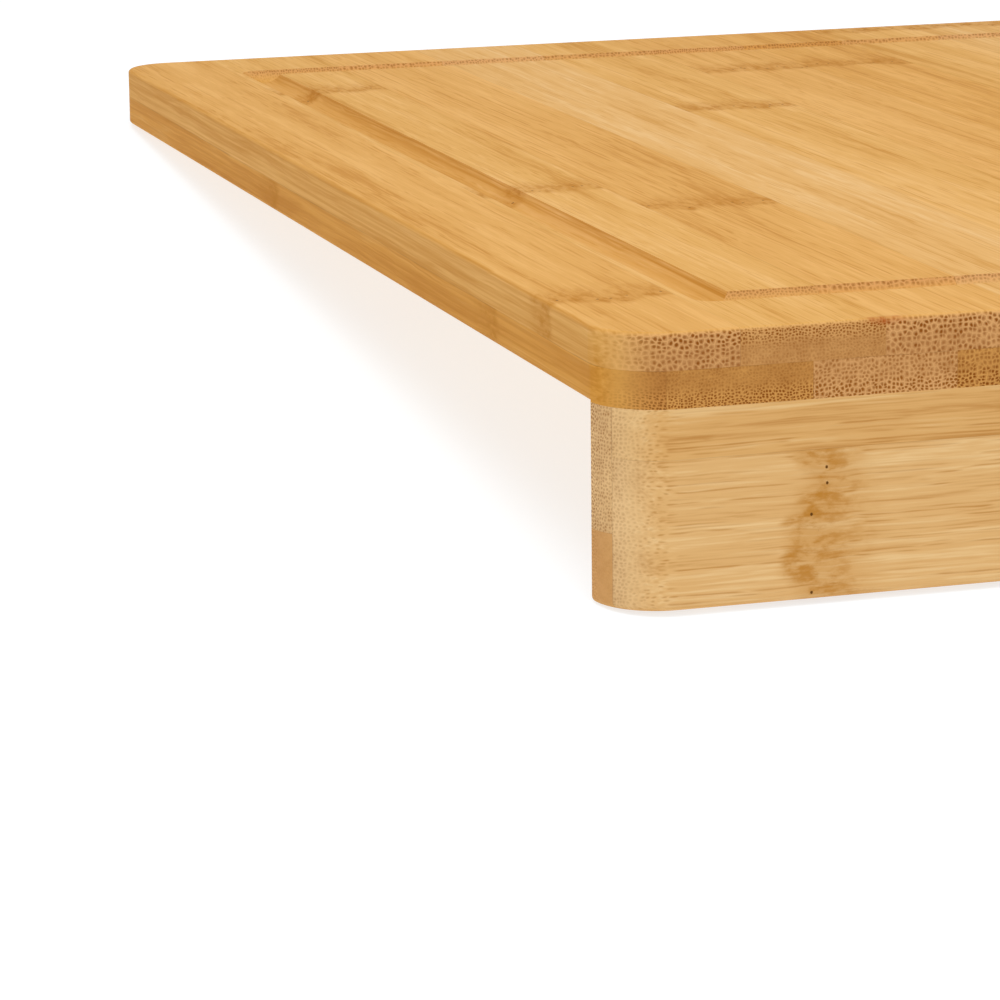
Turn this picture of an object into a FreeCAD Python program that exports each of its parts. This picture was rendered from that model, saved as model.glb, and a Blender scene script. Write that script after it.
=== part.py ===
"""Bamboo cutting board that hooks over the front edge of a worktop.

Two plies of edge-glued strips make the board, a two-ply lip hangs under its front edge, and a
juice groove is routed round the top. Millimetres: +X to the right, +Y back over the worktop,
+Z up. The origin is the middle of the worktop's front edge, where the board's underside meets
the back of the lip.
"""
import FreeCAD, Part
import Sketcher
import math
import os

# Driving sizes, each with the words that say what it measures
SIZES = (
    ("board_width", "450", "board, left to right"),
    ("board_depth", "345", "board, front to back"),
    ("corner_radius", "11", "rounded corners of the board, seen from above"),
    ("ply_thickness", "6", "one ply of the board"),
    ("strip_width", "24", "a full bamboo strip of either ply"),
    ("edge_strip_width", "21", "first strip of the top ply, on the left"),
    ("edge_round", "0.8", "eased edges of the board"),
    ("groove_width", "7.5", "juice groove across its mouth"),
    ("groove_depth", "2.2", "juice groove below the top"),
    ("groove_inset", "26", "board edge to the middle of the groove"),
    ("groove_gap", "100", "break in the groove at the front"),
    ("lip_height", "32", "lip below the board"),
    ("lip_ply_thickness", "5", "one ply of the lip"),
    ("lip_front_seam", "8", "upper strip of the lip's front ply"),
    ("lip_back_seam", "20", "upper strip of the lip's back ply"),
    ("lip_foot_round", "1.2", "rounded foot of the lip"),
    ("dowel_diameter", "6", "dowels that hold the lip"),
    ("dowel_step_count", "5", "strips from one dowel to the next"),
    ("dowel_board_depth", "8", "dowel in the board"),
    ("dowel_lip_depth", "16", "dowel in the lip"),
    ("dowel_chamfer", "0.8", "bevelled dowel ends"),
    ("dowel_clearance", "0.05", "glue space round and beyond a dowel"),
    ("overrun", "2", "how far a cutting shape passes the wood"),
)

doc = FreeCAD.newDocument("cutting_board")
sheet = doc.addObject("Spreadsheet::Sheet", "sizes")
for row, (alias, value, meaning) in enumerate(SIZES, start=1):
    sheet.set(f"A{row}", meaning)
    sheet.set(f"B{row}", value)
    sheet.setAlias(f"B{row}", alias)
doc.recompute()

# Places that several pieces share, as expressions on the sheet
LEFT = "(-sizes.board_width / 2)"
RIGHT = "(sizes.board_width / 2)"
LIP_THICKNESS = "(2 * sizes.lip_ply_thickness)"
FRONT = f"(-{LIP_THICKNESS})"
BACK = f"(sizes.board_depth - {LIP_THICKNESS})"
BOARD_THICKNESS = "(2 * sizes.ply_thickness)"

# The first dowel stands in the middle of a bottom strip, and the row ends short of the right side
FIRST_DOWEL = "(sizes.edge_strip_width + sizes.strip_width)"
DOWEL_PITCH = "(sizes.dowel_step_count * sizes.strip_width)"
DOWEL_ROOM = f"(sizes.board_width - {FIRST_DOWEL} - sizes.strip_width)"
DOWEL_COUNT = f"floor({DOWEL_ROOM} / {DOWEL_PITCH}) + 1"

# How a sketch numbers a curve's ends and middle, its own origin and its upright axis
START_INDEX, END_INDEX, MIDDLE_INDEX = 1, 2, 3
ORIGIN_INDEX, UPRIGHT_INDEX = -1, -2
UP = FreeCAD.Vector(0, 0, 1)


def bind(item, **expressions):
    """Ties an object's sizes to expressions on the sheet."""
    for size, expression in expressions.items():
        item.setExpression(size, expression)


def place(item, x, y, z):
    """Ties an object's place to expressions on the sheet."""
    for axis, expression in zip("xyz", (x, y, z)):
        item.setExpression(f"Placement.Base.{axis}", expression)


def new_body(name):
    body = doc.addObject("PartDesign::Body", name)
    body.Label = name
    return body


def new_sketch(body, name):
    """A sketch on the body's own XY plane."""
    sketch = body.newObject("Sketcher::SketchObject", f"{body.Name}_{name}")
    plane = next(f for f in body.Origin.OriginFeatures if f.Role == "XY_Plane")
    sketch.AttachmentSupport = (plane, "")
    sketch.MapMode = "FlatFace"
    return sketch


def constrain(sketch, kind, *places):
    return sketch.addConstraint(Sketcher.Constraint(kind, *places))


def dimension(sketch, name, expression, kind, *places):
    """A named dimension of the sketch, tied to an expression."""
    number = constrain(sketch, kind, *places, float(sketch.evalExpression(expression)))
    sketch.renameConstraint(number, name)
    sketch.setExpression(f"Constraints.{name}", expression)


def outline_sketch(body):
    """The board from above: a rectangle with four rounded corners, drawn anticlockwise."""
    sketch = new_sketch(body, "outline")
    radius = sheet.corner_radius
    right = sheet.board_width / 2 - radius
    front = radius - 2 * sheet.lip_ply_thickness
    back = front + sheet.board_depth - 2 * radius
    arcs = []
    for turn, (x, y) in enumerate(((right, front), (right, back), (-right, back), (-right, front))):
        circle = Part.Circle(FreeCAD.Vector(x, y, 0), UP, radius)
        angle = (turn - 1) * math.pi / 2
        arcs.append(Part.ArcOfCircle(circle, angle, angle + math.pi / 2))
    lines = []
    corners = []
    for turn, arc in enumerate(arcs):
        lines.append(sketch.addGeometry(Part.LineSegment(arcs[turn - 1].EndPoint, arc.StartPoint)))
        corners.append(sketch.addGeometry(arc))
    for turn, corner in enumerate(corners):
        constrain(sketch, "Tangent", lines[turn], END_INDEX, corner, START_INDEX)
        constrain(sketch, "Tangent", corners[turn - 1], END_INDEX, lines[turn], START_INDEX)
    front_line, right_line, back_line, left_line = lines
    constrain(sketch, "Symmetric", front_line, START_INDEX, front_line, END_INDEX, UPRIGHT_INDEX)
    constrain(sketch, "Horizontal", back_line)
    constrain(sketch, "Vertical", right_line)
    constrain(sketch, "Vertical", left_line)
    for corner in corners[1:]:
        constrain(sketch, "Equal", corners[0], corner)
    dimension(sketch, "corner", "sizes.corner_radius", "Radius", corners[0])
    left_to_right = (left_line, START_INDEX, right_line, START_INDEX)
    front_to_back = (front_line, START_INDEX, back_line, START_INDEX)
    front_to_origin = (front_line, START_INDEX, ORIGIN_INDEX, START_INDEX)
    dimension(sketch, "width", "sizes.board_width", "DistanceX", *left_to_right)
    dimension(sketch, "depth", "sizes.board_depth", "DistanceY", *front_to_back)
    dimension(sketch, "front", LIP_THICKNESS, "DistanceY", *front_to_origin)
    return sketch


def pad_outline(body, height, downwards):
    """The outline made into a slab, above or below the board's underside."""
    pad = body.newObject("PartDesign::Pad", f"{body.Name}_slab")
    pad.Profile = outline_sketch(body)
    pad.Reversed = downwards
    bind(pad, Length=height)
    doc.recompute()
    return pad


def round_level_edges(body, slab, radius, at_top, at_foot):
    """Rounds the slab's level edges, at its top, at its foot or at both."""
    levels = slab.Shape.BoundBox
    half_height = levels.ZLength / 2
    names = []
    for number, edge in enumerate(slab.Shape.Edges, start=1):
        heights = [vertex.Z - levels.ZMin for vertex in edge.Vertexes]
        wanted_top = at_top and min(heights) > half_height
        wanted_foot = at_foot and max(heights) < half_height
        if wanted_top or wanted_foot:
            names.append(f"Edge{number}")
    fillet = body.newObject("PartDesign::Fillet", f"{body.Name}_round")
    fillet.Base = (slab, names)
    bind(fillet, Radius=radius)
    doc.recompute()


def repeat_along_lip(body, originals, sketch):
    """Repeats a feature at each dowel's place, or the whole body if none is given."""
    pattern = body.newObject("PartDesign::LinearPattern", f"{body.Name}_row")
    pattern.Originals = originals
    pattern.TransformMode = "Features" if originals else "Whole shape"
    pattern.Direction = (sketch, ["H_Axis"])
    pattern.Mode = "Spacing"
    bind(pattern, Offset=DOWEL_PITCH, Occurrences=DOWEL_COUNT)
    body.Tip = pattern
    doc.recompute()


def drill_dowel_holes(body, depth, upwards):
    """A row of blind holes, along the middle of the lip's thickness."""
    sketch = new_sketch(body, "hole")
    first_x = float(sheet.evalExpression(f"{LEFT} + {FIRST_DOWEL}"))
    centre = FreeCAD.Vector(first_x, -sheet.lip_ply_thickness, 0)
    hole = sketch.addGeometry(Part.Circle(centre, UP, sheet.dowel_diameter / 2))
    radius = "sizes.dowel_diameter / 2 + sizes.dowel_clearance"
    centre_to_origin = (hole, MIDDLE_INDEX, ORIGIN_INDEX, START_INDEX)
    dimension(sketch, "bore", radius, "Radius", hole)
    dimension(sketch, "across", f"{RIGHT} - {FIRST_DOWEL}", "DistanceX", *centre_to_origin)
    dimension(sketch, "setback", "sizes.lip_ply_thickness", "DistanceY", *centre_to_origin)
    pocket = body.newObject("PartDesign::Pocket", f"{body.Name}_first_hole")
    pocket.Profile = sketch
    pocket.Reversed = upwards
    bind(pocket, Length=f"{depth} + sizes.dowel_clearance")
    repeat_along_lip(body, [pocket], sketch)


def box(name, *spans):
    """A box between two expressions along each axis."""
    item = doc.addObject("Part::Box", name)
    length, width, height = (f"({end}) - ({start})" for start, end in spans)
    bind(item, Length=length, Width=width, Height=height)
    place(item, *(start for start, end in spans))
    return item


def boolean(kind, name, base, tool):
    """A boolean that keeps the edges where its two shapes meet."""
    item = doc.addObject(f"Part::{kind}", name)
    item.Label = name
    item.Base = base
    item.Tool = tool
    item.Refine = False
    return item


def board_body(name, eased_below):
    """The glued panel cut to its outline, with its edges eased and its dowel holes drilled."""
    body = new_body(name)
    slab = pad_outline(body, BOARD_THICKNESS, False)
    round_level_edges(body, slab, "sizes.edge_round", at_top=True, at_foot=eased_below)
    drill_dowel_holes(body, "sizes.dowel_board_depth", True)
    return body


# The board's blank, and the same blank with square lower edges for the land that meets the lip
board_blank = board_body("board_blank", True)
land_blank = board_body("land_blank", False)

# The juice groove as a round-nosed cutter leaves it: a rod along each run, a ball at each turn
NOSE_RADIUS = "((sizes.groove_width / 2) ^ 2 + sizes.groove_depth ^ 2) / (2 * sizes.groove_depth)"
NOSE_HEIGHT = f"{BOARD_THICKNESS} - sizes.groove_depth + {NOSE_RADIUS}"
groove_left = f"{LEFT} + sizes.groove_inset"
groove_right = f"{RIGHT} - sizes.groove_inset"
groove_front = f"{FRONT} + sizes.groove_inset"
groove_back = f"{BACK} - sizes.groove_inset"
gap_reach = "(sizes.groove_gap + sizes.groove_width) / 2"
turns = {
    "left_end": (f"-{gap_reach}", groove_front),
    "front_left": (groove_left, groove_front),
    "back_left": (groove_left, groove_back),
    "back_right": (groove_right, groove_back),
    "front_right": (groove_right, groove_front),
    "right_end": (gap_reach, groove_front),
}
runs = (
    ("front_left", "left_end"),
    ("front_left", "back_left"),
    ("back_left", "back_right"),
    ("front_right", "back_right"),
    ("right_end", "front_right"),
)
cutter_shapes = []
for name, (x, y) in turns.items():
    ball = doc.addObject("Part::Sphere", f"groove_turn_{name}")
    bind(ball, Radius=NOSE_RADIUS)
    place(ball, x, y, NOSE_HEIGHT)
    cutter_shapes.append(ball)
for start, end in runs:
    (start_x, start_y), (end_x, end_y) = turns[start], turns[end]
    sideways = start_y == end_y
    direction = FreeCAD.Vector(1, 0, 0) if sideways else FreeCAD.Vector(0, 1, 0)
    rod = doc.addObject("Part::Cylinder", f"groove_run_{start}_to_{end}")
    rod.Placement.Rotation = FreeCAD.Rotation(UP, direction)
    reach = f"({end_x}) - ({start_x})" if sideways else f"({end_y}) - ({start_y})"
    bind(rod, Radius=NOSE_RADIUS, Height=reach)
    place(rod, start_x, start_y, NOSE_HEIGHT)
    cutter_shapes.append(rod)
groove_cutter = doc.addObject("Part::MultiFuse", "groove_cutter")
groove_cutter.Shapes = cutter_shapes
board_routed = boolean("Cut", "board_routed", board_blank, groove_cutter)

# The lip's blank: the board's own outline, hung below it with a rounded foot
lip_blank = new_body("lip_blank")
lip_slab = pad_outline(lip_blank, "sizes.lip_height", True)
round_level_edges(lip_blank, lip_slab, "sizes.lip_foot_round", at_top=False, at_foot=True)
drill_dowel_holes(lip_blank, "sizes.dowel_lip_depth", False)

# Spans that reach past the wood on all sides
across_board = (f"{LEFT} - sizes.overrun", f"{RIGHT} + sizes.overrun")
along_board = (f"{FRONT} - sizes.overrun", f"{BACK} + sizes.overrun")
parts = []


def named_strips(ply, first_width):
    """Name and span of each strip of a ply; the last takes what is left, if more than the eased edge."""
    room = sheet.board_width - float(sheet.evalExpression(first_width)) - sheet.edge_round
    joint_count = math.ceil(room / sheet.strip_width)
    joints = [f"{LEFT} + {first_width} + {number} * sizes.strip_width" for number in range(joint_count)]
    sides = [across_board[0], *joints, across_board[1]]
    for number, span in enumerate(zip(sides, sides[1:]), start=1):
        yield f"{ply}_strip_{number:02d}", span


# Top ply: strips with the groove routed into them
top_heights = ("sizes.ply_thickness", f"{BOARD_THICKNESS} + sizes.overrun")
for name, span in named_strips("top", "sizes.edge_strip_width"):
    cell = box(f"{name}_cell", span, along_board, top_heights)
    parts.append(boolean("Common", name, cell, board_routed))

# Bottom ply: half a strip out of step with the top, its first strip wider than the eased edge.
# Underneath, the land that is glued flush to the lip and the face that rests on the worktop are
# separate faces.
bottom_first_width = "(sizes.edge_strip_width - sizes.strip_width / 2)"
if float(sheet.evalExpression(bottom_first_width)) <= sheet.edge_round:
    bottom_first_width = "(sizes.edge_strip_width + sizes.strip_width / 2)"
bottom_heights = ("0", "sizes.ply_thickness")
for name, span in named_strips("bottom", bottom_first_width):
    glued_cell = box(f"{name}_glued_cell", span, (along_board[0], "0"), bottom_heights)
    resting_cell = box(f"{name}_resting_cell", span, ("0", along_board[1]), bottom_heights)
    glued = boolean("Common", f"{name}_glued", glued_cell, land_blank)
    resting = boolean("Common", f"{name}_resting", resting_cell, board_blank)
    parts.append(boolean("Fuse", name, glued, resting))

# Lip: two plies of two strips each, with their seams out of step
lip_glue_line = f"{FRONT} + sizes.lip_ply_thickness"
lip_plies = {
    "lip_front": ((along_board[0], lip_glue_line), "-sizes.lip_front_seam"),
    "lip_back": ((lip_glue_line, "0"), "-sizes.lip_back_seam"),
}
for ply, (thickness_span, seam) in lip_plies.items():
    heights = {"upper": (seam, "sizes.overrun"), "lower": ("-sizes.lip_height - sizes.overrun", seam)}
    for position, height_span in heights.items():
        name = f"{ply}_{position}_strip"
        cell = box(f"{name}_cell", across_board, thickness_span, height_span)
        parts.append(boolean("Common", name, cell, lip_blank))

# Dowels: a row of bevelled pegs, in blind holes of the lip and the board
dowels = new_body("lip_dowels")
dowels.AllowCompound = True
peg_sketch = new_sketch(dowels, "circle")
peg_circle = peg_sketch.addGeometry(Part.Circle(FreeCAD.Vector(), UP, sheet.dowel_diameter / 2))
constrain(peg_sketch, "Coincident", peg_circle, MIDDLE_INDEX, ORIGIN_INDEX, START_INDEX)
dimension(peg_sketch, "thickness", "sizes.dowel_diameter / 2", "Radius", peg_circle)
peg = dowels.newObject("PartDesign::Pad", "lip_dowels_peg")
peg.Profile = peg_sketch
bind(peg, Length="sizes.dowel_board_depth + sizes.dowel_lip_depth")
doc.recompute()
rims = [f"Edge{number}" for number, edge in enumerate(peg.Shape.Edges, start=1) if edge.Closed]
bevel = dowels.newObject("PartDesign::Chamfer", "lip_dowels_bevel")
bevel.Base = (peg, rims)
bind(bevel, Size="sizes.dowel_chamfer")
doc.recompute()
repeat_along_lip(dowels, [], peg_sketch)
place(dowels, f"{LEFT} + {FIRST_DOWEL}", f"{FRONT} / 2", "-sizes.dowel_lip_depth")
parts.append(dowels)

doc.recompute()
for item in doc.Objects:
    if "Invalid" in item.State or "Error" in item.State:
        raise RuntimeError(f"{item.Label} did not build: {item.State}")
for part in parts:
    if part.Shape.isNull() or not part.Shape.isValid() or not part.Shape.Solids:
        raise RuntimeError(f"{part.Label} is not a valid solid")

os.makedirs("parts", exist_ok=True)
for part in parts:
    part.Shape.exportStep(f"parts/{part.Label}.step")
    print(f"{part.Label}: solids {len(part.Shape.Solids)}, volume {part.Shape.Volume:.1f}")
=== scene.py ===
import math

import bpy
from mathutils import Matrix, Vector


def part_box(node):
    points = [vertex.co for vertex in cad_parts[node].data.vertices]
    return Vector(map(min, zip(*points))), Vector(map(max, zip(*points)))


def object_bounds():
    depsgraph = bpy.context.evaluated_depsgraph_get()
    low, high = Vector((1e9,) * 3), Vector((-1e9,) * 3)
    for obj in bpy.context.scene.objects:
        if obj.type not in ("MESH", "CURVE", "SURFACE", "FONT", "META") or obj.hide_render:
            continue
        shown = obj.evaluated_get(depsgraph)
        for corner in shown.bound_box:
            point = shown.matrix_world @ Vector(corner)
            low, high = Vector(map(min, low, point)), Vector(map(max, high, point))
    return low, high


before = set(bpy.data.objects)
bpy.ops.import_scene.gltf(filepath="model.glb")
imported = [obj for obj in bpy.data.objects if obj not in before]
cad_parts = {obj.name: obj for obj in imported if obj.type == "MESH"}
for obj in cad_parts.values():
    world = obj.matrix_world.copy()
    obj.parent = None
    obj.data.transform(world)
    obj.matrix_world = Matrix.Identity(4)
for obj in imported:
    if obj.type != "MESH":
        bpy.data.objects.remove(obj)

solid_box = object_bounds()

# Top ply: nineteen bamboo strips, glued edge to edge, planed and sanded, with the juice groove
# routed across them. A strip is split from the wall of a cane, so its fibre bundles all run from
# front to back and grow denser towards the skin side, which faces up.
MM_PER_M = 1000
NOWHERE_MM = 9000
front_edge_mm = solid_box[0].y * MM_PER_M
strip_low, strip_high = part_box("top_strip_10")
strip_width_mm = (strip_high.x - strip_low.x) * MM_PER_M
ply_mm = (strip_high.z - strip_low.z) * MM_PER_M


def linear(hex_colour):
    """An sRGB hex colour as the linear colour that a shader takes."""
    shares = [int(hex_colour[start:start + 2], 16) / 255 for start in (1, 3, 5)]
    return (*(s / 12.92 if s <= 0.04045 else ((s + 0.055) / 1.055) ** 2.4 for s in shares), 1)


def patches(lengths_mm):
    """The scale that gives a pattern patches this long, across, along and out of a strip."""
    return tuple(1 / length for length in lengths_mm)


def add(tree, kind, links, output=None, **settings):
    """Adds a node with its settings, and puts a value or a socket on its live inputs."""
    node = tree.nodes.new(kind)
    for setting, value in settings.items():
        setattr(node, setting, value)
    live = [socket for socket in node.inputs if socket.enabled]
    by_name = {socket.name: socket for socket in live}
    for key, value in links.items():
        socket = live[key] if isinstance(key, int) else by_name[key]
        if isinstance(value, bpy.types.NodeSocket):
            tree.links.new(value, socket)
        else:
            socket.default_value = value
    live_outputs = [socket for socket in node.outputs if socket.enabled]
    return node.outputs[output] if output else next(iter(live_outputs), None)


# The wood of one strip, whose place is in millimetres across it, along its grain and out to its skin
wood = bpy.data.node_groups.new("bamboo_strip_wood", "ShaderNodeTree")
for socket, kind in {
    "Place": "Vector", "Edge": "Float", "End grain": "Float", "Skin side": "Float", "Seed": "Float",
    "Spacing": "Vector", "Core dots": "Float", "Knots": "Vector", "Grooved face": "Float",
    "Scorch": "Vector", "Scorch size": "Vector", "Pale": "Color", "Tone": "Color", "Dark": "Color",
    "End pale": "Color", "End dark": "Color",
}.items():
    wood.interface.new_socket(socket, in_out="INPUT", socket_type=f"NodeSocket{kind}")
for socket, kind in {"Colour": "Color", "Roughness": "Float", "Height": "Float"}.items():
    wood.interface.new_socket(socket, in_out="OUTPUT", socket_type=f"NodeSocket{kind}")
given = wood.nodes.new("NodeGroupInput").outputs

# Each strip has its own part of the noise
SEED_STEP_MM = (31.7, 87.3, 53.9)
seed_step = add(wood, "ShaderNodeVectorMath", {0: SEED_STEP_MM, "Scale": given["Seed"]}, operation="SCALE")
own_place = add(wood, "ShaderNodeVectorMath", {0: given["Place"], 1: seed_step}, operation="ADD")
across, along, outward = add(wood, "ShaderNodeSeparateXYZ", {0: given["Place"]}).node.outputs

# Knots, where the cane had its joints: a wavy line across the strip, with a tail that fades out
KNOT_WAVE_MM, KNOT_WAVE_PATCH_MM = 12, (7, 20, 7)
KNOT_ONSET_MM, KNOT_FADE_MM, KNOT_TAIL_MM = -4, 1, 15
wave = add(wood, "ShaderNodeTexNoise", {
    "Vector": add(wood, "ShaderNodeMapping", {"Vector": own_place, "Scale": patches(KNOT_WAVE_PATCH_MM)}),
    "Scale": 1, "Detail": 2,
})
wavy_along = add(wood, "ShaderNodeMath", {0: wave, 1: KNOT_WAVE_MM, 2: along}, operation="MULTIPLY_ADD")
knot_zone = 0
for knot in add(wood, "ShaderNodeSeparateXYZ", {0: given["Knots"]}).node.outputs:
    past_knot = add(wood, "ShaderNodeMath", {0: wavy_along, 1: knot}, operation="SUBTRACT")
    past_wave = add(wood, "ShaderNodeMath", {0: past_knot, 1: KNOT_WAVE_MM / 2}, operation="SUBTRACT")
    onset = add(wood, "ShaderNodeMapRange", {
        "Value": past_wave, "From Min": KNOT_ONSET_MM, "From Max": 0,
    }, interpolation_type="SMOOTHSTEP")
    tail = add(wood, "ShaderNodeMapRange", {
        "Value": past_wave, "From Min": KNOT_TAIL_MM, "From Max": KNOT_FADE_MM,
    }, interpolation_type="SMOOTHSTEP")
    one_knot = add(wood, "ShaderNodeMath", {0: onset, 1: tail}, operation="MULTIPLY")
    knot_zone = add(wood, "ShaderNodeMath", {0: one_knot, 1: knot_zone}, operation="MAXIMUM")

# Fibre bundles wander on their way along the strip, most of all near a knot
BROAD_PATCH_MM, BROAD_REACH_MM = (16, 60, 16), (1.2, 0, 3)
FINE_PATCH_MM, FINE_REACH_MM = (2.5, 12, 2.5), (0.3, 0, 0.9)
SWIRL_PATCH_MM, SWIRL_REACH_MM = (4, 7, 4), (1.4, 0, 1.4)
PLAIN_SWIRL_SHARE = 0.1
NOISE_MIDDLE = (0.5, 0.5, 0.5)
swirl_share = add(wood, "ShaderNodeMath", {
    0: knot_zone, 1: 1 - PLAIN_SWIRL_SHARE, 2: PLAIN_SWIRL_SHARE,
}, operation="MULTIPLY_ADD")
grain_place = given["Place"]
for patch_mm, reach_mm, share in (
    (BROAD_PATCH_MM, BROAD_REACH_MM, 1),
    (FINE_PATCH_MM, FINE_REACH_MM, 1),
    (SWIRL_PATCH_MM, SWIRL_REACH_MM, swirl_share),
):
    drift = add(wood, "ShaderNodeTexNoise", {
        "Vector": add(wood, "ShaderNodeMapping", {"Vector": own_place, "Scale": patches(patch_mm)}),
        "Scale": 1, "Detail": 1,
    }, output="Color")
    centred = add(wood, "ShaderNodeVectorMath", {0: drift, 1: NOISE_MIDDLE}, operation="SUBTRACT")
    reach = add(wood, "ShaderNodeVectorMath", {0: centred, 1: reach_mm}, operation="MULTIPLY")
    shift = add(wood, "ShaderNodeVectorMath", {0: reach, "Scale": share}, operation="SCALE")
    grain_place = add(wood, "ShaderNodeVectorMath", {0: grain_place, 1: shift}, operation="ADD")

# Bundles in a net across the grain, closer together towards the skin side
CROWDING, DISORDER = 0.03, 0.7
NET_LINE, DOT_RIM, DOT_CORE, DASH_RIM, DASH_CORE = 0.22, 0.48, 0.1, 0.42, 0.06
DASH_CHANCE, DASH_SHARE = 0.15, 0.58
grain_across, _, grain_outward = add(wood, "ShaderNodeSeparateXYZ", {0: grain_place}).node.outputs
crowding = add(wood, "ShaderNodeMath", {0: grain_outward, 1: CROWDING, 2: 1}, operation="MULTIPLY_ADD")
crowded = add(wood, "ShaderNodeMath", {0: grain_outward, 1: crowding}, operation="MULTIPLY")
net_place = add(wood, "ShaderNodeCombineXYZ", {0: grain_across, 1: crowded})
net_cells = add(wood, "ShaderNodeVectorMath", {0: net_place, 1: given["Spacing"]}, operation="DIVIDE")
own_cells = add(wood, "ShaderNodeVectorMath", {0: net_cells, 1: seed_step}, operation="ADD")
from_bundle = add(wood, "ShaderNodeTexVoronoi", {
    "Vector": own_cells, "Scale": 1, "Randomness": DISORDER,
}, voronoi_dimensions="2D")
from_net = add(wood, "ShaderNodeTexVoronoi", {
    "Vector": own_cells, "Scale": 1, "Randomness": DISORDER,
}, voronoi_dimensions="2D", feature="DISTANCE_TO_EDGE")
bundle_chance = add(wood, "ShaderNodeSeparateColor", {0: from_bundle.node.outputs["Color"]})
bundle = add(wood, "ShaderNodeMapRange", {
    "Value": from_net, "From Min": 0, "From Max": NET_LINE,
}, interpolation_type="SMOOTHSTEP")
dot = add(wood, "ShaderNodeMapRange", {
    "Value": from_bundle, "From Min": DOT_RIM, "From Max": DOT_CORE,
}, interpolation_type="SMOOTHSTEP")
dash = add(wood, "ShaderNodeMapRange", {
    "Value": from_bundle, "From Min": DASH_RIM, "From Max": DASH_CORE,
}, interpolation_type="SMOOTHSTEP")
dash_strength = add(wood, "ShaderNodeMapRange", {
    "Value": bundle_chance, "From Min": DASH_CHANCE, "From Max": 1, "To Max": DASH_SHARE,
})
dash = add(wood, "ShaderNodeMath", {0: dash, 1: dash_strength}, operation="MULTIPLY")

# Planed along the grain: broad, middling and fine streaks
STREAKS = (((7, 160, 7), 0.45), ((1.6, 45, 1.6), 0.28), ((0.4, 16, 0.4), 0.27))
EVEN_LIGHT, PALE_LIGHT, DARK_LIGHT = 0.49, 0.61, 0.35
DARK_STREAK_SHARE = 0.6
own_grain = add(wood, "ShaderNodeVectorMath", {0: grain_place, 1: seed_step}, operation="ADD")
light = 0
for patch_mm, share in STREAKS:
    streak = add(wood, "ShaderNodeTexNoise", {
        "Vector": add(wood, "ShaderNodeMapping", {"Vector": own_grain, "Scale": patches(patch_mm)}),
        "Scale": 1, "Detail": 2,
    })
    light = add(wood, "ShaderNodeMath", {0: streak, 1: share, 2: light}, operation="MULTIPLY_ADD")
pale_share = add(wood, "ShaderNodeMapRange", {
    "Value": light, "From Min": EVEN_LIGHT, "From Max": PALE_LIGHT,
}, interpolation_type="SMOOTHSTEP")
dark_share = add(wood, "ShaderNodeMapRange", {
    "Value": light, "From Min": EVEN_LIGHT, "From Max": DARK_LIGHT, "To Max": DARK_STREAK_SHARE,
}, interpolation_type="SMOOTHSTEP")
planed = add(wood, "ShaderNodeMix", {
    "Factor": pale_share, "A": given["Tone"], "B": given["Pale"],
}, data_type="RGBA")

# The edge of a strip is darker than its face, and lined with long fibres, as is the groove's wall
EDGE_FIBRE_MM = (0.6, 70, 0.6)
EDGE_GROUND_NOISE, EDGE_LINE_NOISE = 0.38, 0.62
EDGE_GROUND_SHARE, EDGE_LINE_SHARE = 0.1, 0.58
EDGE_FROM_SHARE, EDGE_FULL_SHARE = 0.2, 0.9
WALL_TOP_MM = 0.3
edge_fibres = add(wood, "ShaderNodeTexNoise", {
    "Vector": add(wood, "ShaderNodeMapping", {"Vector": own_place, "Scale": patches(EDGE_FIBRE_MM)}),
    "Scale": 1, "Detail": 2,
})
groove_depth = add(wood, "ShaderNodeMath", {0: given["Grooved face"], 1: outward}, operation="SUBTRACT")
line_share = add(wood, "ShaderNodeMapRange", {
    "Value": groove_depth, "From Min": 0, "From Max": WALL_TOP_MM, "To Min": EDGE_LINE_SHARE, "To Max": 1,
})
edge_lines = add(wood, "ShaderNodeMapRange", {
    "Value": edge_fibres, "From Min": EDGE_GROUND_NOISE, "From Max": EDGE_LINE_NOISE,
    "To Min": EDGE_GROUND_SHARE, "To Max": line_share,
})
edge_facing = add(wood, "ShaderNodeMapRange", {
    "Value": given["Edge"], "From Min": EDGE_FROM_SHARE, "From Max": EDGE_FULL_SHARE,
}, interpolation_type="SMOOTHSTEP")
edge_share = add(wood, "ShaderNodeMath", {0: edge_facing, 1: edge_lines}, operation="MULTIPLY")

# Dark streaks, bundles as fine broken dashes, and edge lines all darken the planed wood alike
for share in (dark_share, dash, edge_share):
    planed = add(wood, "ShaderNodeMix", {
        "Factor": share, "A": planed, "B": given["Dark"],
    }, data_type="RGBA")

# Sawn across the grain: brown bundles in a pale net, which blur into plain brown near the glued face
BLUR_SHARE, BUNDLE_SHARE, MOTTLE = 0.42, 0.4, -1.4
BLURRED_PLY_SHARE, SHARP_PLY_SHARE = 0.4, 0.85
FAINT_DOT_SHARE, STRONG_DOT_SHARE = 0.4, 0.9
skin = add(wood, "ShaderNodeMapRange", {
    "Value": outward, "From Min": BLURRED_PLY_SHARE * ply_mm, "From Max": SHARP_PLY_SHARE * ply_mm,
    "To Min": given["Core dots"],
}, interpolation_type="SMOOTHSTEP")
dot_strength = add(wood, "ShaderNodeMapRange", {
    "Value": bundle_chance, "To Min": FAINT_DOT_SHARE, "To Max": STRONG_DOT_SHARE,
})
core = add(wood, "ShaderNodeMath", {0: dot, 1: dot_strength}, operation="MULTIPLY")
brown = add(wood, "ShaderNodeMath", {0: bundle, 1: BUNDLE_SHARE, 2: core}, operation="MULTIPLY_ADD")
brown_share = add(wood, "ShaderNodeMix", {"Factor": skin, "A": BLUR_SHARE, "B": brown})
past_even = add(wood, "ShaderNodeMath", {0: light, 1: EVEN_LIGHT}, operation="SUBTRACT")
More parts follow.
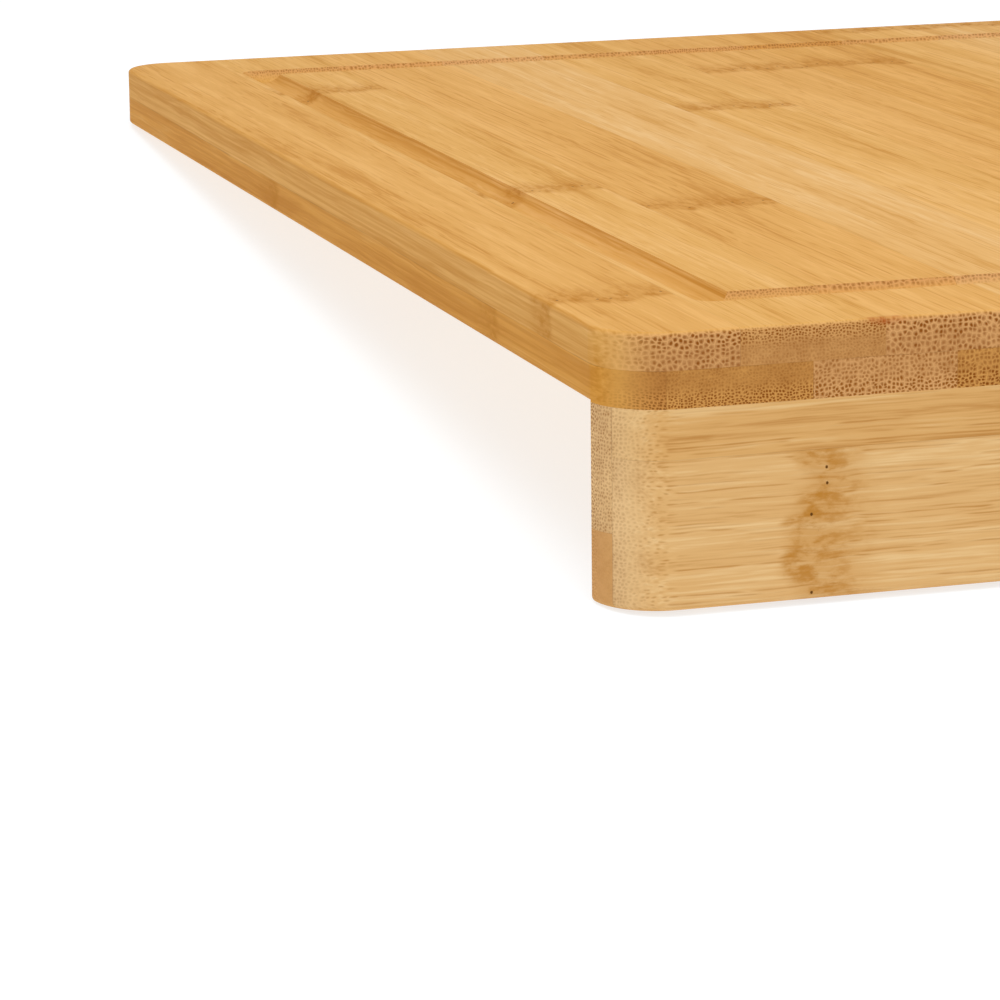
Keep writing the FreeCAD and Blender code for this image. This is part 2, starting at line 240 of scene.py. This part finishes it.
brown_share = add(wood, "ShaderNodeMath", {
    0: past_even, 1: MOTTLE, 2: brown_share,
}, operation="MULTIPLY_ADD", use_clamp=True)
sawn = add(wood, "ShaderNodeMix", {
    "Factor": brown_share, "A": given["End pale"], "B": given["End dark"],
}, data_type="RGBA")

# A face that slants to the grain, as in the groove, round the corner and on the eased edges, has its sawn
# colour mixed towards the pale tone
SLANT_FULL_SHARE, SLANT_PALE_SHARE = 0.65, 0.65
END_FROM_SHARE, END_FULL_SHARE = 0.2, 0.8
slant = add(wood, "ShaderNodeMapRange", {
    "Value": given["End grain"], "From Min": 1, "From Max": SLANT_FULL_SHARE,
    "To Max": SLANT_PALE_SHARE,
})
sawn = add(wood, "ShaderNodeMix", {"Factor": slant, "A": sawn, "B": given["Pale"]}, data_type="RGBA")
end_share = add(wood, "ShaderNodeMapRange", {
    "Value": given["End grain"], "From Min": END_FROM_SHARE, "From Max": END_FULL_SHARE,
}, interpolation_type="SMOOTHSTEP")
colour = add(wood, "ShaderNodeMix", {"Factor": end_share, "A": planed, "B": sawn}, data_type="RGBA")

# Painted shade in the juice groove, with some browning left by the cutter: its floor is darkened towards
# the dark tone the deeper it lies below the face
GROOVE_RIM_MM, GROOVE_FLOOR_MM = 0.4, 1.6
GROOVE_FROM_SHARE, GROOVE_FULL_SHARE = 0.2, 0.45
GROOVE_SHADE_AND_BROWN_SHARE = 0.25
in_groove = add(wood, "ShaderNodeMapRange", {
    "Value": groove_depth, "From Min": GROOVE_RIM_MM, "From Max": GROOVE_FLOOR_MM,
    "To Max": GROOVE_SHADE_AND_BROWN_SHARE,
})
groove_facing = add(wood, "ShaderNodeMapRange", {
    "Value": given["Skin side"], "From Min": GROOVE_FROM_SHARE, "From Max": GROOVE_FULL_SHARE,
})
groove_shade_and_brown_share = add(wood, "ShaderNodeMath", {0: in_groove, 1: groove_facing}, operation="MULTIPLY")
colour = add(wood, "ShaderNodeMix", {
    "Factor": groove_shade_and_brown_share, "A": colour, "B": given["Dark"],
}, data_type="RGBA")

# A knot shows as a darker zone with short brown flecks, and a few pinholes in its middle
KNOT_BROWN, PINHOLE_BROWN = linear("#B87408"), linear("#6A4012")
FLECK_MM, PINHOLE_STEP_MM = (1.6, 4, 1.6), (4, 3.2, 4)
PALE_FLECK_NOISE, BROWN_FLECK_NOISE, FLECK_RAGGEDNESS = 0.42, 0.68, 0.6
PALE_FLECK_SHARE, BROWN_FLECK_SHARE = 0.3, 0.8
PINHOLE_RIM, PINHOLE_CORE, PINHOLE_DISORDER = 0.08, 0.04, 0.9
KNOT_MIDDLE_SHARE = 0.97
fleck_noise = add(wood, "ShaderNodeTexNoise", {
    "Vector": add(wood, "ShaderNodeMapping", {"Vector": own_place, "Scale": patches(FLECK_MM)}),
    "Scale": 1, "Detail": 4, "Roughness": FLECK_RAGGEDNESS,
})
fleck = add(wood, "ShaderNodeMapRange", {
    "Value": fleck_noise, "From Min": PALE_FLECK_NOISE, "From Max": BROWN_FLECK_NOISE,
    "To Min": PALE_FLECK_SHARE, "To Max": BROWN_FLECK_SHARE,
}, interpolation_type="SMOOTHSTEP")
knot_share = add(wood, "ShaderNodeMath", {0: knot_zone, 1: fleck}, operation="MULTIPLY")
colour = add(wood, "ShaderNodeMix", {"Factor": knot_share, "A": colour, "B": KNOT_BROWN}, data_type="RGBA")
from_pinhole = add(wood, "ShaderNodeTexVoronoi", {
    "Vector": add(wood, "ShaderNodeMapping", {"Vector": own_place, "Scale": patches(PINHOLE_STEP_MM)}),
    "Scale": 1, "Randomness": PINHOLE_DISORDER,
}, voronoi_dimensions="2D")
pinhole = add(wood, "ShaderNodeMapRange", {
    "Value": from_pinhole, "From Min": PINHOLE_RIM, "From Max": PINHOLE_CORE,
}, interpolation_type="SMOOTHSTEP")
knot_middle = add(wood, "ShaderNodeMath", {
    0: knot_zone, 1: KNOT_MIDDLE_SHARE,
}, operation="GREATER_THAN")
pinhole = add(wood, "ShaderNodeMath", {0: pinhole, 1: knot_middle}, operation="MULTIPLY")
colour = add(wood, "ShaderNodeMix", {"Factor": pinhole, "A": colour, "B": PINHOLE_BROWN}, data_type="RGBA")

# A scorched spot, where a tool stood still
SCORCH_BROWN = linear("#AA4C12")
SCORCH_CORE_SHARE = 0.3
past_scorch = add(wood, "ShaderNodeVectorMath", {
    0: given["Place"], 1: given["Scorch"],
}, operation="SUBTRACT")
scorch_place = add(wood, "ShaderNodeVectorMath", {
    0: past_scorch, 1: given["Scorch size"],
}, operation="DIVIDE")
from_scorch = add(wood, "ShaderNodeVectorMath", {0: scorch_place}, operation="LENGTH")
scorch = add(wood, "ShaderNodeMapRange", {
    "Value": from_scorch, "From Min": 1, "From Max": SCORCH_CORE_SHARE,
}, interpolation_type="SMOOTHSTEP")
scorch_share = add(wood, "ShaderNodeMath", {0: scorch, 1: fleck}, operation="MULTIPLY")
colour = add(wood, "ShaderNodeMix", {
    "Factor": scorch_share, "A": colour, "B": SCORCH_BROWN,
}, data_type="RGBA")

# Broken hairlines of glue between plies, and half as wide between strips
GLUE_BROWN = linear("#6E421A")
GLUE_RIM_MM, GLUE_CORE_MM = 0.16, 0.04
GLUE_GAP_MM = (5, 14, 5)
FAINT_GLUE_NOISE, STRONG_GLUE_NOISE = 0.42, 0.62
FAINT_GLUE_SHARE, STRONG_GLUE_SHARE = 0.05, 0.3
to_side = add(wood, "ShaderNodeMath", {0: across}, operation="ABSOLUTE")
to_joint = add(wood, "ShaderNodeMath", {0: to_side, 1: -2, 2: strip_width_mm}, operation="MULTIPLY_ADD")
to_glue = add(wood, "ShaderNodeMath", {0: to_joint, 1: outward}, operation="MINIMUM")
glue_line = add(wood, "ShaderNodeMapRange", {
    "Value": to_glue, "From Min": GLUE_RIM_MM, "From Max": GLUE_CORE_MM,
}, interpolation_type="SMOOTHSTEP")
glue_gaps = add(wood, "ShaderNodeTexNoise", {
    "Vector": add(wood, "ShaderNodeMapping", {"Vector": own_place, "Scale": patches(GLUE_GAP_MM)}),
    "Scale": 1, "Detail": 2,
})
glue_share = add(wood, "ShaderNodeMapRange", {
    "Value": glue_gaps, "From Min": FAINT_GLUE_NOISE, "From Max": STRONG_GLUE_NOISE,
    "To Min": FAINT_GLUE_SHARE, "To Max": STRONG_GLUE_SHARE,
})
glue = add(wood, "ShaderNodeMath", {0: glue_line, 1: glue_share}, operation="MULTIPLY")
colour = add(wood, "ShaderNodeMix", {"Factor": glue, "A": colour, "B": GLUE_BROWN}, data_type="RGBA")

# Sanding leaves the fibres a little proud, and the sawn bundles a little sunk
FIBRE_HEIGHT_MM, PORE_DEPTH_MM, PINHOLE_DEPTH_MM = 0.04, 0.04, 0.15
PLANED_ROUGHNESS, SAWN_ROUGHNESS = 0.6, 0.7
roughness = add(wood, "ShaderNodeMapRange", {
    "Value": end_share, "To Min": PLANED_ROUGHNESS, "To Max": SAWN_ROUGHNESS,
})
pore = add(wood, "ShaderNodeMath", {0: dot, 1: end_share}, operation="MULTIPLY")
height = add(wood, "ShaderNodeMath", {0: light, 1: FIBRE_HEIGHT_MM}, operation="MULTIPLY")
for sunk, depth_mm in ((pore, PORE_DEPTH_MM), (pinhole, PINHOLE_DEPTH_MM)):
    height = add(wood, "ShaderNodeMath", {0: sunk, 1: -depth_mm, 2: height}, operation="MULTIPLY_ADD")
add(wood, "NodeGroupOutput", {"Colour": colour, "Roughness": roughness, "Height": height})

# Oiled bamboo has a soft sheen and no film, so it reads as satin, warmer or paler from strip to strip
TONES = {
    "pale": ("#ECBF80", "#E5B26B", "#CB8E36", "#DEA66A", "#985A1E"),
    "honey": ("#EBB870", "#E2AC5E", "#C48428", "#D8A060", "#945416"),
    "light_amber": ("#E9B368", "#E0A85A", "#C07E22", "#DCA468", "#905014"),
    "amber": ("#E6AE60", "#DCA251", "#BC791E", "#D49850", "#8A4A0E"),
    "toasted": ("#E1A754", "#D8983F", "#BB7618", "#CA8A46", "#804610"),
}
TONE_SOCKETS = ("Pale", "Tone", "Dark", "End pale", "End dark")
SHEEN_LEVEL = 0.06


def bamboo(
    node, tone, spacing_mm, core_dots, knots_mm, seed, turn, shift_mm,
    grooved_face_mm=0, scorch_mm=(NOWHERE_MM,) * 3, scorch_size_mm=(1, 1, 1),
):
    """Gives a node its strip's wood; turn and shift take the board's frame to the strip's own."""
    material = bpy.data.materials.new(f"oiled_bamboo_{tone}_{node}")
    material.use_nodes = True
    tree = material.node_tree
    place = add(tree, "ShaderNodeMapping", {
        "Vector": add(tree, "ShaderNodeTexCoord", {}, output="Object"),
        "Location": shift_mm, "Rotation": turn.to_euler(), "Scale": (MM_PER_M,) * 3,
    })
    normal = add(tree, "ShaderNodeNewGeometry", {}, output="Normal")
    facing = {}
    for face, direction in zip(("Edge", "End grain", "Skin side"), turn):
        towards = add(tree, "ShaderNodeVectorMath", {0: normal, 1: direction}, operation="DOT_PRODUCT")
        facing[face] = add(tree, "ShaderNodeMath", {0: towards}, operation="ABSOLUTE")
    strip = add(tree, "ShaderNodeGroup", {
        **facing, "Place": place, "Seed": seed, "Spacing": (*spacing_mm, 1), "Core dots": core_dots,
        "Knots": (*knots_mm, *(NOWHERE_MM,) * 3)[:3], "Grooved face": grooved_face_mm,
        "Scorch": scorch_mm, "Scorch size": scorch_size_mm,
        **{socket: linear(hex_colour) for socket, hex_colour in zip(TONE_SOCKETS, TONES[tone])},
    }, node_tree=wood).node.outputs
    shader = tree.nodes["Principled BSDF"]
    shader.inputs["Specular IOR Level"].default_value = SHEEN_LEVEL
    bump = add(tree, "ShaderNodeBump", {"Height": strip["Height"], "Distance": 1 / MM_PER_M})
    for socket, value in {
        "Base Color": strip["Colour"], "Roughness": strip["Roughness"], "Normal": bump,
    }.items():
        tree.links.new(value, shader.inputs[socket])
    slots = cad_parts[node].data.materials
    slots.clear()
    slots.append(material)


# Spacing of the bundles, in millimetres, and how strongly they show near the glued face
COARSE, MIDDLING, FINE = ((0.85, 0.98), 0.55), ((0.7, 0.8), 0.5), ((0.55, 0.62), 0.2)

# From left to right, with the knots in millimetres from the front edge
TOP_STRIPS = (
    ("light_amber", COARSE, (31,)),
    ("honey", FINE, (138, 283)),
    ("light_amber", COARSE, (112,)),
    ("pale", MIDDLING, ()),
    ("honey", COARSE, (228,)),
    ("light_amber", FINE, (10, 283)),
    ("amber", MIDDLING, (283,)),
    ("honey", COARSE, (52, 205, 338)),
    ("pale", COARSE, (52, 205, 338)),
    ("honey", FINE, (76,)),
    ("honey", MIDDLING, (90,)),
    ("amber", COARSE, (335,)),
    ("honey", FINE, (66, 221)),
    ("amber", COARSE, (117,)),
    ("honey", FINE, (43, 331)),
    ("pale", COARSE, (224,)),
    ("pale", MIDDLING, (107, 250)),
    ("amber", FINE, (131,)),
    ("pale", COARSE, (38, 204)),
)
SKIN_UP = Matrix.Identity(3)

# Scorched by the sander on the front edge, and by the cutter where the groove ends, as place and size
SANDER_SCORCH_MM = ((-180, 0, ply_mm), (5, 2, 1.5))
CUTTER_SCORCH_MM = ((-52, 26, 4), (4, 4.5, 4))
for number, (tone, (spacing, core_dots), knots) in enumerate(TOP_STRIPS, start=1):
    middle = (number - (len(TOP_STRIPS) + 1) / 2) * strip_width_mm
    is_grooved = 1 < number < len(TOP_STRIPS)
    (scorch_across, *scorch_rest), scorch_size = min(
        SANDER_SCORCH_MM, CUTTER_SCORCH_MM, key=lambda scorch_mm: abs(scorch_mm[0][0] - middle)
    )
    bamboo(
        f"top_strip_{number:02d}", tone, spacing, core_dots, knots, number, SKIN_UP,
        (-middle, -front_edge_mm, -ply_mm),
        ply_mm if is_grooved else 0, (scorch_across - middle, *scorch_rest), scorch_size,
    )

# Bottom ply: twenty strips of the same bamboo, glued under the top ply half a strip out of step,
# with the skin side down. Its sawn ends show under the top ply's along the front and the back.
BOTTOM_STRIPS = (
    ("toasted", FINE, (60, 205)),
    ("amber", FINE, (170, 315)),
    ("pale", MIDDLING, (95, 240)),
    ("amber", MIDDLING, (130,)),
    ("honey", COARSE, (40, 185, 330)),
    ("pale", MIDDLING, (215,)),
    ("honey", COARSE, (75, 225)),
    ("amber", FINE, (150, 300)),
    ("pale", COARSE, (105, 250)),
    ("honey", MIDDLING, (20, 165, 310)),
    ("pale", FINE, (195,)),
    ("honey", COARSE, (55, 200)),
    ("amber", COARSE, (270,)),
    ("pale", MIDDLING, (120, 265)),
    ("honey", FINE, (85, 230)),
    ("honey", COARSE, (85, 230)),
    ("toasted", FINE, (160, 305)),
    ("pale", COARSE, (30, 175, 320)),
    ("honey", MIDDLING, (110, 255)),
    ("amber", COARSE, (140,)),
)
BOTTOM_SEED = 40
SKIN_DOWN = Matrix.Rotation(math.pi, 3, "Y")
for number, (tone, (spacing, core_dots), knots) in enumerate(BOTTOM_STRIPS, start=1):
    middle = (number - (len(BOTTOM_STRIPS) + 1) / 2) * strip_width_mm
    bamboo(
        f"bottom_strip_{number:02d}", tone, spacing, core_dots, knots, BOTTOM_SEED + number, SKIN_DOWN,
        (middle, -front_edge_mm, ply_mm),
    )

# Lip: two plies of bamboo strips that run from left to right, glued face to face with their seams
# out of step, and hung under the board's front edge so that it hooks over a worktop.
LIP_SEED = 80
SKIN_FORWARD = Matrix(((0, 0, -1), (1, 0, 0), (0, -1, 0)))
SKIN_BACK = Matrix(((0, 0, 1), (1, 0, 0), (0, 1, 0)))
ABOVE_SEAM, BELOW_SEAM = 1, -1
TONES["lip_amber"] = ("#EAC084", "#DFAC6A", "#B4742A", "#ECC28A", "#98602C")
TONES["lip_pale"] = ("#EEC68C", "#E3B374", "#B87A30", "#EEC48E", "#9A622E")
TONES["lip_brown"] = ("#D9A866", "#CC9754", "#AF7A3A", "#DEA86C", "#B67C40")
LIP_FINE, LIP_PLAIN = ((0.6, 0.55), 0.5), ((0.5, 0.5), 0.05)
LIP_STRIPS = {
    "lip_front_upper_strip": ("lip_amber", LIP_FINE, (110, 260, 405), SKIN_FORWARD, ABOVE_SEAM),
    "lip_front_lower_strip": ("lip_pale", LIP_FINE, (32, 180, 330), SKIN_FORWARD, BELOW_SEAM),
    "lip_back_upper_strip": ("lip_amber", LIP_FINE, (75, 225, 370), SKIN_BACK, ABOVE_SEAM),
    "lip_back_lower_strip": ("lip_brown", LIP_PLAIN, (150, 300), SKIN_BACK, BELOW_SEAM),
}
left_end_mm = solid_box[0].x * MM_PER_M
lip_glue_mm = front_edge_mm / 2
for number, (node, lip_strip) in enumerate(LIP_STRIPS.items(), start=1):
    tone, (spacing, core_dots), knots, turn, seam_side = lip_strip
    low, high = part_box(node)
    seam = low.z if seam_side == ABOVE_SEAM else high.z
    middle = seam * MM_PER_M + seam_side * strip_width_mm / 2
    bamboo(
        node, tone, spacing, core_dots, knots, LIP_SEED + number, turn,
        (-middle * turn[0][2], -left_end_mm, -lip_glue_mm * turn[2][1]),
    )

# Dowels: four turned beech pegs with bevelled ends, glued into blind holes of the lip and the
# board. They are hidden once the board is glued up.
BEECH_RAY_MM = (0.6, 0.6, 3)
BEECH_ROUGHNESS = 0.6

# Turned beech is pale and dull, with short fine rays along the peg
beech = bpy.data.materials.new("turned_beech")
beech.use_nodes = True
beech_tree = beech.node_tree
beech_rays = add(beech_tree, "ShaderNodeTexNoise", {
    "Vector": add(beech_tree, "ShaderNodeMapping", {
        "Vector": add(beech_tree, "ShaderNodeTexCoord", {}, output="Object"),
        "Scale": tuple(MM_PER_M / length for length in BEECH_RAY_MM),
    }),
    "Scale": 1, "Detail": 2,
})
beech_colour = add(beech_tree, "ShaderNodeMix", {
    "Factor": beech_rays, "A": linear("#C89A6C"), "B": linear("#E3C298"),
}, data_type="RGBA")
beech_shader = beech_tree.nodes["Principled BSDF"]
beech_tree.links.new(beech_colour, beech_shader.inputs["Base Color"])
beech_shader.inputs["Roughness"].default_value = BEECH_ROUGHNESS
dowel_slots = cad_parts["lip_dowels"].data.materials
dowel_slots.clear()
dowel_slots.append(beech)

# Floor: a plain pale table, lit from within as a product table is. The board stands on it on the
# foot of its lip and its back edge, so the table slopes a little in the board's own frame.
FLOOR_REACH = 12
lip_low, lip_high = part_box("lip_back_lower_strip")
board_low, board_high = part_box("bottom_strip_10")
slope = math.atan2(board_low.z - lip_low.z, board_high.y - lip_high.y)
floor_mesh = bpy.data.meshes.new("floor")
floor_corners = [(x, y, 0) for x, y in ((-1, -1), (1, -1), (1, 1), (-1, 1))]
floor_mesh.from_pydata(floor_corners, [], [(0, 1, 2, 3)])
floor_mesh.transform(
    Matrix.Translation((0, lip_high.y, lip_low.z))
    @ Matrix.Rotation(slope, 4, "X")
    @ Matrix.Scale(FLOOR_REACH, 4)
)
floor = bpy.data.objects.new("floor", floor_mesh)
bpy.context.collection.objects.link(floor)

# Lit white acrylic is dull and glows, so that it reads as plain white with a faint shadow
TABLE_ROUGHNESS, TABLE_GLOW = 0.9, 0.72
table = bpy.data.materials.new("lit_white_acrylic")
table.use_nodes = True
table_shader = table.node_tree.nodes["Principled BSDF"]
for socket, value in {
    "Base Color": linear("#9CA6AE"), "Roughness": TABLE_ROUGHNESS, "Specular IOR Level": 0,
    "Emission Color": linear("#FFFFFF"), "Emission Strength": TABLE_GLOW,
}.items():
    table_shader.inputs[socket].default_value = value
floor_mesh.materials.append(table)

# Light: an even white room and one large soft box, high over the front left. The view transform is
# plain, so that the table stays white.
ROOM_STRENGTH = 0.6
SOFT_BOX_WIDTH = 1.2
SOFT_BOX_WATTS = 17
SOFT_BOX_PLACE = (-0.35, -0.45, 1.7)
world = bpy.data.worlds.new("white_room")
world.use_nodes = True
room = world.node_tree.nodes["Background"]
room.inputs["Color"].default_value = linear("#FFFFFF")
room.inputs["Strength"].default_value = ROOM_STRENGTH
bpy.context.scene.world = world
lamp = bpy.data.lights.new("soft_box", "AREA")
lamp.size = SOFT_BOX_WIDTH
lamp.energy = SOFT_BOX_WATTS
soft_box = bpy.data.objects.new("soft_box", lamp)
soft_box.location = SOFT_BOX_PLACE
soft_box.rotation_euler = (-soft_box.location).to_track_quat("-Z", "Y").to_euler()
bpy.context.collection.objects.link(soft_box)
bpy.context.scene.view_settings.view_transform = "Standard"

# Camera: close to the front left corner and a little above the board, with a long lens. It is rolled
# by less than a degree.
LENS_MM = 159.2
VIEW_PLACE = (-0.435, -0.635, 0.139)
VIEW_BEARING = math.radians(17.09)
VIEW_DOWN = math.radians(13)
VIEW_ROLL = math.radians(-0.7)
lens = bpy.data.cameras.new("camera")
lens.lens = LENS_MM
camera = bpy.data.objects.new("camera", lens)
camera.matrix_world = (
    Matrix.Translation(VIEW_PLACE)
    @ Matrix.Rotation(-VIEW_BEARING, 4, "Z")
    @ Matrix.Rotation(math.pi / 2 - VIEW_DOWN, 4, "X")
    @ Matrix.Rotation(VIEW_ROLL, 4, "Z")
)
bpy.context.collection.objects.link(camera)
bpy.context.scene.camera = camera
